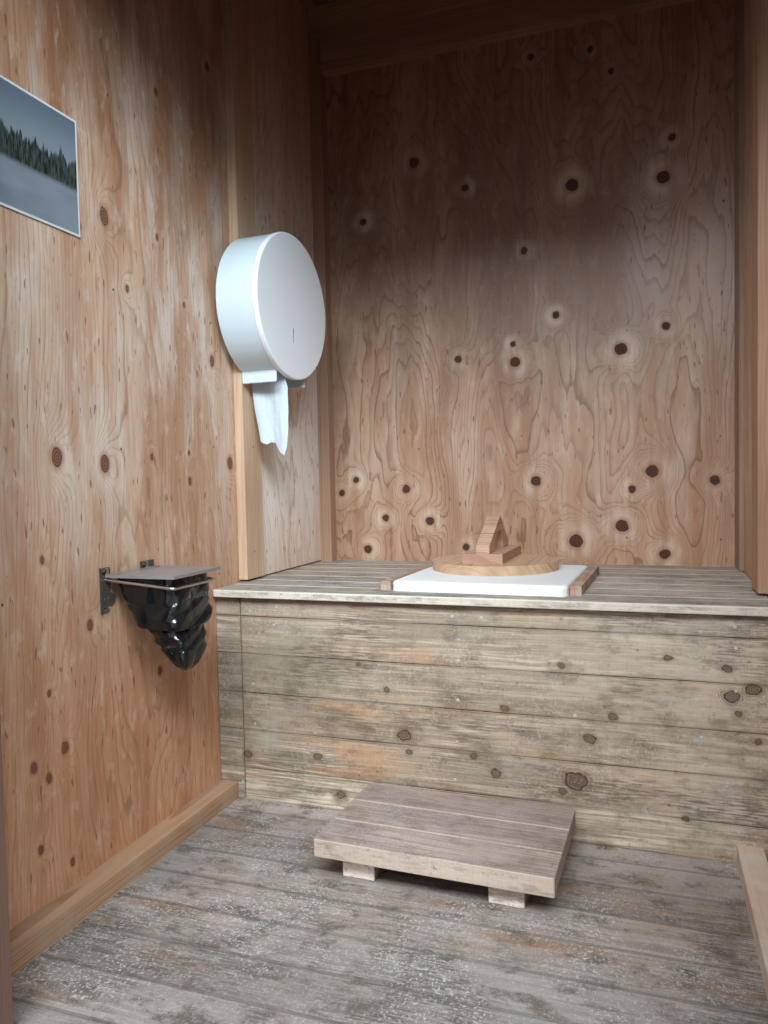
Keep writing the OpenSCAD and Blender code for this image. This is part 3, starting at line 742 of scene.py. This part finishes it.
FRONT_STAINS = (
    (on_plane(360, 774, "y", 0), (0.115, 0.2, 0.020), (0.38, 0.165, 0.06, 1), 0.58),
    (on_plane(322, 741, "y", 0), (0.10, 0.2, 0.020), (0.40, 0.20, 0.09, 1), 0.39),
    (on_plane(657, 780, "y", 0), (0.13, 0.2, 0.040), (0.52, 0.27, 0.13, 1), 0.47),
    (on_plane(290, 757, "y", 0), (0.11, 0.2, 0.022), (0.085, 0.075, 0.055, 1), 0.55),
    (on_plane(285, 790, "y", 0), (0.12, 0.2, 0.025), (0.10, 0.09, 0.065, 1), 0.43),
    (on_plane(266, 738, "y", 0), (0.05, 0.2, 0.050), (0.50, 0.50, 0.42, 1), 0.35),
    (on_plane(495, 770, "y", 0), (0.16, 0.2, 0.035), (0.20, 0.175, 0.145, 1), 0.47),
    (on_plane(300, 668, "y", 0), (0.14, 0.2, 0.10), (0.20, 0.19, 0.115, 1), 0.47),
    (on_plane(330, 716, "y", 0), (0.14, 0.2, 0.03), (0.22, 0.16, 0.09, 1), 0.39),
    (on_plane(229, 690, "y", 0), (0.05, 0.2, 0.30), (0.17, 0.155, 0.11, 1), 0.55),
    (on_plane(520, 628, "y", 0), (0.42, 0.2, 0.035), (0.26, 0.20, 0.14, 1), 0.47),
    (on_plane(690, 660, "y", 0), (0.40, 0.3, 0.20), (0.68, 0.59, 0.48, 1), 0.47),
    (on_plane(720, 800, "y", 0), (0.30, 0.3, 0.10), (0.64, 0.56, 0.45, 1), 0.47),
)
TOP_TINTS = {
    "pale": (0.62, 0.54, 0.46, 1), "dark": (0.19, 0.14, 0.105, 1), "film": (0.38, 0.36, 0.33, 1),
    "amber": (0.44, 0.28, 0.17, 1), "mould": (0.09, 0.065, 0.05, 1), "dust": (0.74, 0.73, 0.72, 1),
    "edges": (0.70, 0.62, 0.53, 1), "front": (0.74, 0.64, 0.53, 1),
}
TOP_SHARES = {"rings": 0.35, "bands": 0.5, "streaks": 0.9, "boards": 0.25, "film": 0.5, "amber": 0.45, "mould": 0.85,
              "grime": 0.4, "dust": 0.4, "drips": 0.0, "saw": 0.1, "edges": 0.6, "front": 0.8}
# A paler patch toward the right end of the bench top and a darker one toward its left end
TOP_PATCHES = (
    (on_plane(700, 588, "z", 508), (0.30, 0.30, 0.3), (0.76, 0.66, 0.56, 1), 0.35),
    (on_plane(330, 590, "z", 508), (0.25, 0.10, 0.3), (0.20, 0.15, 0.11, 1), 0.35),
)
FLOOR_TINTS = {
    "pale": (0.40, 0.325, 0.275, 1), "dark": (0.12, 0.088, 0.07, 1), "film": (0.20, 0.18, 0.165, 1),
    "amber": (0.23, 0.135, 0.085, 1), "mould": (0.095, 0.07, 0.052, 1), "dust": (0.50, 0.50, 0.49, 1),
    "edges": (0.07, 0.055, 0.045, 1), "front": (0.4, 0.33, 0.28, 1),
}
FLOOR_SHARES = {"rings": 0.2, "bands": 0.35, "streaks": 0.25, "boards": 0.5, "film": 0.55, "amber": 0.9, "mould": 0.85,
                "grime": 0.9, "dust": 0.9, "drips": 0.0, "saw": 0.0, "edges": 0.5, "front": 0.0}
# Two paler patches on the far part of the floor and a darker one near the camera at the left
FLOOR_PATCHES = (
    (on_plane(330, 805, "z", 0), (0.45, 0.14, 0.3), (0.48, 0.395, 0.335, 1), 0.5),
    (on_plane(650, 860, "z", 0), (0.30, 0.14, 0.3), (0.46, 0.39, 0.34, 1), 0.4),
    (on_plane(330, 985, "z", 0), (0.60, 0.17, 0.3), (0.16, 0.14, 0.125, 1), 0.45),
)
STEP_TINTS = {
    "pale": (0.44, 0.34, 0.29, 1), "dark": (0.17, 0.11, 0.09, 1), "film": (0.30, 0.245, 0.23, 1),
    "amber": (0.40, 0.25, 0.16, 1), "mould": (0.13, 0.085, 0.065, 1), "dust": (0.56, 0.53, 0.51, 1),
    "edges": (0.50, 0.38, 0.28, 1), "front": (0.52, 0.395, 0.305, 1),
}
STEP_SHARES = {"rings": 0.35, "bands": 0.4, "streaks": 0.6, "boards": 0.2, "film": 0.55, "amber": 0.4, "mould": 0.45,
               "grime": 0.5, "dust": 0.45, "drips": 0.0, "saw": 0.15, "edges": 0.15, "front": 0.8}
front_pine = weathered("front_pine", FRONT_TINTS, FRONT_SHARES, ((0.9, 0, 1.15), front_knots()), FRONT_STAINS)
top_pine = weathered("top_pine", TOP_TINTS, TOP_SHARES, colour_patches=TOP_PATCHES)
floor_pine = weathered("floor_pine", FLOOR_TINTS, FLOOR_SHARES, colour_patches=FLOOR_PATCHES)
step_pine = weathered("step_pine", STEP_TINTS, STEP_SHARES)
# The step's feet take the pale front tint in full: painted light on faces that lie in the step's shade
FOOT_TINTS = {**STEP_TINTS, "front": (0.97, 0.80, 0.70, 1)}
FOOT_SHARES = {**STEP_SHARES, "front": 1.0, "dust": 0.2, "edges": 0.0}
foot_pine = weathered("foot_pine", FOOT_TINTS, FOOT_SHARES)
white_foam = plain_finish("white_foam", (0.86, 0.87, 0.87, 1), 0.42, grain=900.0, tint=0.02)
white_cover = plain_finish("white_cover", (0.94, 0.97, 0.99, 1), 0.25, grain=60.0, tint=0.006, depth=0.000004,
                           uneven=0.015)
white_shell = plain_finish("white_shell", (0.68, 0.78, 0.84, 1), 0.25, grain=60.0, tint=0.006, depth=0.000004,
                           uneven=0.015)
steel = plain_finish("steel", (0.62, 0.61, 0.59, 1), 0.34, metallic=1.0, grain=700.0)
zinc = plain_finish("zinc", (0.50, 0.50, 0.47, 1), 0.5, metallic=0.2, grain=900.0, tint=0.1)
dark_nail = plain_finish("dark_nail", (0.16, 0.12, 0.10, 1), 0.45, metallic=0.6, grain=900.0)
bracket_iron = plain_finish("bracket_iron", (0.10, 0.08, 0.065, 1), 0.5, metallic=0.3, grain=400.0)
brown_board = plain_finish("brown_board", (0.25, 0.225, 0.22, 1), 0.30, grain=500.0, depth=0.00003, tint=0.08, uneven=0.03)
black_film = thin_film("black_film", (0.004, 0.005, 0.006, 1))
tissue = plain_finish("tissue", (0.60, 0.67, 0.73, 1), 0.9, grain=900.0, depth=0.0003, tint=0.02)
# Dark smoked finish for the sight window, also used for the ring of painted seam shade
smoked_window_and_seam_shade = plain_finish("smoked_window_and_seam_shade", (0.012, 0.012, 0.013, 1), 0.25, grain=500.0)
felt = plain_finish("felt", (0.07, 0.075, 0.075, 1), 0.9, grain=1200.0, depth=0.0006, tint=0.12)
card = winter_card()

dress("left_wall_sheet", left_ply)
dress("left_rear_lining", lining_ply)
dress("right_wall_sheet", right_ply)
dress("back_wall_sheet", back_ply)
for name in ("front_left_panel", "front_right_panel", "front_top_panel", "roof_deck"):
    dress(name, front_ply)
dress("left_joint_batten", batten_pine, 0.002)
dress("right_joint_batten", right_batten_pine, 0.002)
dress("left_corner_post", post_pine, 0.002)
dress("right_corner_post", right_post_pine, 0.002)
dress("rear_rail", roof_shaded_rail, 0.003)
dress("rear_top_plate", roof_shaded_plate, 0.003)
for name in ("front_top_plate", "floor_rims", "bench_rails"):
    dress(name, cross_pine, 0.002)
for name in ("left_sole_plate", "rafters", "skids", "bench_cross_rails", "floor_joists"):
    dress(name, deep_pine, 0.002)
dress("right_sole_plate", worn_plate, 0.003)
for name in ("left_door_post", "right_door_post", "outer_battens"):
    dress(name, stained_pine, 0.002)
for name in ("door_header", "front_skirt", "roof_fascias"):
    dress(name, stained_cross, 0.002)
dress("roof_felt", felt)
dress("lid_disc", lid_pine, 0.0015)
dress("lid_block", block_pine, 0.001)
dress("lid_handle", handle_pine, 0.001)
dress("seat_guides", guide_pine, 0.0015)
dress("seat_plate", white_foam)
dress("dispenser_cover", white_cover)
for name in ("dispenser_body", "dispenser_cutters"):
    dress(name, white_shell)
dress("bag_bracket", bracket_iron)
dress("bag_frame", steel)
dress("bag_hinge_leaves", steel)
dress("bag_lid_plate", brown_board, 0.001)
dress("wall_print", card)


def make_bench_front():
    mesh = bmesh.new()
    seams = (0, 77, 170, 260, 354, 444, 490)
    for k, (low, high) in enumerate(zip(seams, seams[1:])):
        add_board(mesh, (68, 0, low + 0.6), (1220, 38, high - 0.6), "x", 11 + 3 * k, arris=0.8, waves=14)
    piece = settle("bench_front_planks", mesh, front_pine)
    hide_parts("bench_front_boards")
    mesh = bmesh.new()
    for k, (low, high) in enumerate(zip(seams, seams[1:])):
        add_board(mesh, (0.3, 0.5, low + 0.6), (66, 38, high - 0.6), "x", 31 + k, arris=0.9)
    piece = settle("bench_filler_blocks", mesh, front_pine)
    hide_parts("bench_front_filler")


def make_bench_top():
    mesh = bmesh.new()
    pitch = 668 / 7
    for k in range(7):
        low = -20 + k * pitch
        add_board(mesh, (5, low + 0.6, 490), (1219, low + pitch - 0.6, 508), "x", 51 + k, arris=2.4, waves=14)
    piece = settle("bench_top_planks", mesh, top_pine)
    cut = bmesh.new()
    bmesh.ops.create_cone(cut, segments=64, radius1=0.125, radius2=0.125, depth=0.06, cap_ends=True)
    bmesh.ops.translate(cut, verts=cut.verts, vec=mm(641, 301, 499))
    data = bpy.data.meshes.new("hole")
    cut.to_mesh(data)
    cut.free()
    cutter = bpy.data.objects.new("hole", data)
    bpy.context.scene.collection.objects.link(cutter)
    boolean = piece.modifiers.new("hole", "BOOLEAN")
    boolean.object = cutter
    boolean.solver = "EXACT"
    finished = bpy.data.meshes.new_from_object(piece.evaluated_get(bpy.context.evaluated_depsgraph_get()))
    piece.modifiers.clear()
    piece.data = finished
    bpy.data.objects.remove(cutter)
    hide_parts("bench_top_boards")


def make_floor():
    mesh = bmesh.new()
    pitch = 871 / 9
    for k in range(9):
        low = -833 + k * pitch
        add_board(mesh, (0, low + 0.4, -25), (1220, low + pitch - 0.4, 0), "x", 71 + k, arris=0.8, waves=14)
    piece = settle("floor_planks", mesh, floor_pine)
    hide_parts("floor_boards")


def make_step():
    turn = Matrix.Translation((617, -172, 0)) @ Matrix.Rotation(math.radians(-2), 4, "Z")
    mesh = bmesh.new()
    for k in range(3):
        low = -141.25 + 95 * k
        add_board(mesh, (-225.5, low, 51), (225.5, low + 92.5, 86), "x", 91 + k, turn, 1.8, 8)
    piece = settle("step_boards", mesh, step_pine)
    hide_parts("step_planks")
    mesh = bmesh.new()
    for k, left in enumerate((-185, 101)):
        add_board(mesh, (left, -101, 0), (left + 66, 111, 51), "y", 95 + k, turn, 1.5, 4)
    piece = settle("step_blocks", mesh, foot_pine)
    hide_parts("step_feet")


def loft(mesh, rings, closed=True):
    """Skins rows of points, each row given as vectors in metres."""
    rows = [[mesh.verts.new(point) for point in ring] for ring in rings]
    count = len(rows[0])
    for a, b in zip(rows, rows[1:]):
        for k in range(count if closed else count - 1):
            mesh.faces.new((a[k], a[(k + 1) % count], b[(k + 1) % count], b[k]))
    return rows


def crease(spot, size):
    """Sharp-ridged folds, from -1 to 1."""
    return 1 - 2.2 * abs(noise.noise(spot / size))


def make_bag():
    """Bag film: a wide collar that hangs from the rods, and a narrower crumpled end below it."""
    # Height, then left, right, near and far side in mm, and how strongly the film is creased
    sections = (
        (520, 40, 138, -372, -272, 0.6), (560, 22, 146, -384, -262, 0.4), (582, 15, 151, -389.5, -255, 0.1),
        (584.5, 14, 152.5, -390.5, -253.5, 0.0), (578, 13, 153.5, -390.8, -253.2, 0.1),
        (560, 20, 156, -391, -253, 0.6), (535, 31, 158, -391, -252, 1.0), (510, 44, 158, -390, -251, 1.0),
        (494, 53, 157, -389, -254, 1.0), (488, 60, 155, -386, -258, 0.9), (489, 66, 150, -381, -264, 0.8),
        (492, 71, 147, -377, -270, 0.8), (484, 76, 148, -377, -272, 1.0), (462, 90, 154, -374, -276, 1.3),
        (442, 104, 157, -370, -280, 1.3), (424, 116, 155, -364, -290, 1.2), (410, 126, 151, -354, -304, 1.0),
        (402, 134, 145, -344, -318, 0.6), (400, 138, 141, -338, -326, 0.2),
    )
    around = 132
    rings = []
    steps = 7
    for a, b in zip(sections, sections[1:]):
        for step in range(steps):
            t = step / steps
            z, x0, x1, y0, y1, rough = (p + (q - p) * t for p, q in zip(a, b))
            middle = Vector(((x0 + x1) / 2, (y0 + y1) / 2, z))
            ring = []
            for k in range(around):
                angle = 2 * math.pi * k / around
                c, d = math.cos(angle), math.sin(angle)
                square = (abs(c) ** 5 + abs(d) ** 5) ** (-1 / 5)
                spot = middle + Vector((c * square * (x1 - x0) / 2, d * square * (y1 - y0) / 2, 0))
                sag = -7 * rough * (1 - min(1, abs((z - 500) / 60))) * (0.5 + 0.5 * math.cos(angle * 2 + 0.6))
                steep = math.radians(50 + 30 * min(1, max(0, (540 - z) / 100)))
                drawn = spot.y * math.cos(steep) + spot.z * math.sin(steep)
                beside = spot.z * math.cos(steep) - spot.y * math.sin(steep)
                fold = Vector((spot.x * 0.8 + 31, drawn * 0.2, beside))
                push = 3.6 * crease(fold, 40) + 5.0 * noise.noise(fold / 24)
                push += 0.35 * crease(Vector((spot.x, drawn * 0.3, beside)) + Vector((5, 9, 2)), 13)
                away = Vector((c, d, 0.15)).normalized()
                spot = spot + away * rough * (push - 2.4) + Vector((0, 0, sag))
                ring.append(mm(*spot))
            rings.append(ring)
    mesh = bmesh.new()
    rows = loft(mesh, rings)
    mesh.faces.new(rows[-1])
    piece = settle("bag_film", mesh, black_film, smooth=True)
    thick = piece.modifiers.new("film", "SOLIDIFY")
    thick.thickness = 0.0005
    thick.offset = -1
    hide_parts("waste_bag")


def make_paper():
    """End of the paper, creased lengthwise and torn, hanging from between the cutters."""
    outline = ((1060, 33, 124), (1022, 31.5, 124.5), (1000, 31, 131), (934, 40, 131), (896, 46, 130), (867, 51, 127.5),
               (847, 55, 125))
    torn = ((0.0, 867), (0.05, 862), (0.16, 859), (0.27, 858), (0.36, 863), (0.52, 861), (0.60, 850), (0.74, 835),
            (0.91, 828), (1.0, 847))
    across, down = 46, 90
    rings = []
    for i in range(down + 1):
        ring = []
        for k in range(across + 1):
            u = k / across
            foot = next(a[1] + (b[1] - a[1]) * (u - a[0]) / (b[0] - a[0])
                        for a, b in zip(torn, torn[1:]) if u <= b[0] + 1e-9)
            foot += 3.2 * noise.noise(Vector((u * 24, 3.1, 0))) + 2.2 * noise.noise(Vector((u * 70, 8.1, 0)))
            z = 1060 + (foot - 1060) * i / down
            left, right = next(((a[1] + (b[1] - a[1]) * t, a[2] + (b[2] - a[2]) * t)
                                for a, b in zip(outline, outline[1:])
                                for t in [min(1, (a[0] - z) / (a[0] - b[0]))] if z >= b[0] or b is outline[-1]))
            x = left + (right - left) * u
            free = min(1, (1060 - z) / 110)
            wave = 3.2 * math.sin(u * 9 + 0.004 * z) + 1.6 * crease(Vector((x, z * 0.25, 5)), 19)
            wave += 0.6 * crease(Vector((x, z, 9)), 8)
            ring.append(mm(x, 155.7 + free * wave, z))
        rings.append(ring)
    mesh = bmesh.new()
    loft(mesh, rings, closed=False)
    piece = settle("paper_end", mesh, tissue, smooth=True)
    thick = piece.modifiers.new("paper", "SOLIDIFY")
    thick.thickness = 0.0002
    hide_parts("paper_tail")


def on_drum(x, y, z):
    """A point in the dispenser's own terms, in mm: out from the wall, across and up from its middle."""
    lean = math.radians(-2.5)
    return mm(27.5 + x * math.cos(lean) - y * math.sin(lean), 192.8 + x * math.sin(lean) + y * math.cos(lean), 1205 + z)


def make_dispenser_details():
    """Smoked window in the sight slot, and a dark ring behind the cover's rim that is painted shade in the seam."""
    mesh = bmesh.new()
    corners = [[on_drum(x, y, z) for y, z in ((-7.9, -91), (-4.1, -91), (-4.1, -55), (-7.9, -55))] for x in (109, 112.6)]
    rows = [[mesh.verts.new(point) for point in ring] for ring in corners]
    for k in range(4):
        mesh.faces.new((rows[0][k], rows[0][(k + 1) % 4], rows[1][(k + 1) % 4], rows[1][k]))
    mesh.faces.new(rows[0])
    mesh.faces.new(rows[1])
    # Dark ring in the seam behind the cover's rim: painted shade where the cover steps down to the body
    seam_shadow_ring = [on_drum(100.5, 181.6 * math.sin(turn), -181.6 * math.cos(turn))
            for turn in (math.radians(28 + 4 * k) for k in range(77))]
    rods(mesh, seam_shadow_ring, 0.0007, 6)
    piece = settle("dispenser_window_and_seam_shade", mesh, smoked_window_and_seam_shade)


def make_fixings():
    """Nail heads in the boards and screws in the fittings."""
    toward_door, toward_room = Vector((0, -1, 0)), Vector((1, 0, 0))
    mesh = bmesh.new()
    rng = random.Random(5)
    seen = ((250, 611), (276, 607), (274, 625), (452, 617), (459, 640), (458, 661), (458, 700), (253, 684),
            (255, 724), (457, 742), (243, 782), (481, 618), (483, 677), (575, 716), (735, 627), (736, 649),
            (736, 691), (701, 632), (700, 656), (702, 738), (706, 765), (727, 787), (739, 832), (455, 780))
    for px, py in seen:
        head(mesh, on_plane(px, py, "y", 0), toward_door, 0.0037, 0.0008)
    piece = settle("bench_nails", mesh, zinc)
    mesh = bmesh.new()
    for y in (-640, -330, 20, 162, 590):
        for z in (560, 830, 1160, 1500, 1820, 2080):
            depth = 24 if y == 162 else 0
            head(mesh, mm(depth, y + rng.uniform(-6, 6), z + rng.uniform(-25, 25)), toward_room, 0.0026, 0.0005)
    for x in (30, 330, 640, 930, 1180):
        for z in (560, 860, 1160, 1460, 1760, 1960):
            head(mesh, mm(x + rng.uniform(-6, 6), 648, z + rng.uniform(-25, 25)), toward_door, 0.0026, 0.0005)
    piece = settle("wall_nails", mesh, dark_nail)
    mesh = bmesh.new()
    for y in (-396, -386, -272, -250):
        for z in (522, 545, 588):
            head(mesh, mm(3, y, z), toward_room, 0.0028, 0.001)
    piece = settle("bracket_screws", mesh, steel)


make_bench_front()
make_bench_top()
make_floor()
make_step()
make_bag()
make_paper()
make_dispenser_details()
make_fixings()


def background_rays(r):
    """1 for what the camera sees, directly or in gloss and glass, and 0 for the light on the object."""
    rays = r.put("ShaderNodeLightPath").outputs
    mirrored = r.math("MAXIMUM", rays["Is Glossy Ray"], rays["Is Transmission Ray"])
    return r.math("MAXIMUM", rays["Is Camera Ray"], mirrored)


def make_light():
    world = bpy.data.worlds.new("studio")
    bpy.context.scene.world = world
    world.use_nodes = True
    world.node_tree.nodes["Background"].inputs[0].default_value = (0.90, 0.93, 0.97, 1)
    r = Recipe(world.node_tree)
    height = r.parts(r.put("ShaderNodeTexCoord").outputs["Generated"])[2]
    seen = background_rays(r)
    lit = r.fade(height, -0.05, 0.75, 0.36, 0.85)
    shown = r.plus(r.times(seen, 0.8), r.times(r.plus(1.0, r.times(seen, -1.0)), lit))
    r.feed(world.node_tree.nodes["Background"].inputs[1], shown)
    # Name, place, tilt and turn in degrees, size in metres, watts, colour
    lamps = (
        ("doorway_light", (1.30, -2.9, 3.05), 54, 12, 3.0, 1.1, 288, (0.82, 0.93, 1.0)),
        ("side_light", (2.02, -2.30, 2.40), 67, 40, 0.7, 0.7, 27, (0.50, 0.80, 1.0)),
        ("corner_light", (-0.90, -2.9, 2.05), 78, -22, 0.6, 0.9, 14, (0.80, 0.92, 1.0)),
    )
    for name, place, tilt, turn, wide, tall, watts, colour in lamps:
        data = bpy.data.lights.new(name, "AREA")
        data.shape = "RECTANGLE"
        data.size = wide
        data.size_y = tall
        data.energy = watts
        data.color = colour
        lamp = bpy.data.objects.new(name, data)
        lamp.location = at(*place)
        lamp.rotation_euler = (math.radians(tilt), 0, math.radians(turn))
        bpy.context.scene.collection.objects.link(lamp)


def make_ground():
    """Pale to the eye, but darker as a reflector, so that it doesn't light the roof from below."""
    mesh = bmesh.new()
    bmesh.ops.create_grid(mesh, x_segments=1, y_segments=1, size=12)
    data = bpy.data.meshes.new("studio_floor")
    mesh.to_mesh(data)
    mesh.free()
    ground = bpy.data.objects.new("studio_floor", data)
    bpy.context.scene.collection.objects.link(ground)
    material, r, shader = new_material("studio_floor")
    seen = background_rays(r)
    r.feed(shader.inputs["Base Color"], r.mix(seen, (0.12, 0.12, 0.12, 1), (0.46, 0.46, 0.455, 1)))
    shader.inputs["Roughness"].default_value = 0.9
    data.materials.append(material)


make_light()
make_ground()
bpy.context.scene.view_settings.view_transform = "Standard"
